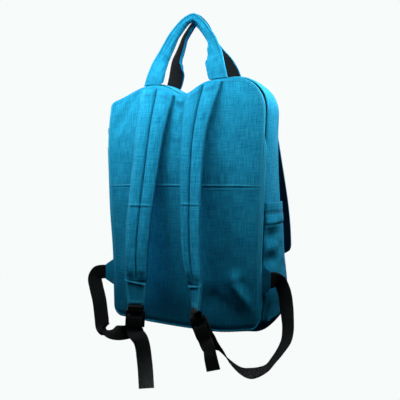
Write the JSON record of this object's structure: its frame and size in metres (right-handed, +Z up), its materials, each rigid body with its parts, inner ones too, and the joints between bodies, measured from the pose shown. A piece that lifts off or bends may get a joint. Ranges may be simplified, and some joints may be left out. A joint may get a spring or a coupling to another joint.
{
  "type": "canvas backpack",
  "caption": "Soft canvas backpack hanging by its carry handles, with padded shoulder straps, webbing adjusters, side pockets and a flapped front pocket.",
  "frame": {"origin": "hang point, midway between the two gathered handle grips and level with their underside", "axes": "+Z up; -Y towards the harness side with the shoulder straps, +Y towards the outer front; +X to the right of the harness side"},
  "size_m": [0.3836, 0.2439, 0.6203],
  "materials": {
    "canvas": "heathered blue woven canvas, matt",
    "webbing": "black ribbed webbing, matt",
    "plastic": "black moulded plastic, satin"
  },
  "bodies": {
    "root": {"back_panel": "canvas", "front_panel": "canvas", "gusset": "canvas", "base_panel": "canvas", "seam_welt": "canvas", "zip_tape_back": "webbing", "zip_tape_front": "webbing", "zip_slider": "plastic", "side_pocket_left": "canvas", "side_pocket_right": "canvas", "front_pocket": "canvas", "front_flap": "canvas", "front_flap_lining": "webbing", "handle_back_cover": "canvas", "handle_back_webbing": "webbing", "handle_front_cover": "canvas", "handle_front_webbing": "webbing", "shoulder_strap_left": "canvas", "shoulder_strap_right": "canvas", "buckle_loop_left": "webbing", "buckle_loop_right": "webbing", "ladder_lock_left": "plastic", "ladder_lock_right": "plastic", "strap_tab_left": "canvas", "strap_tab_right": "canvas", "webbing_left": "webbing", "webbing_right": "webbing"}
  },
  "joints": []
}
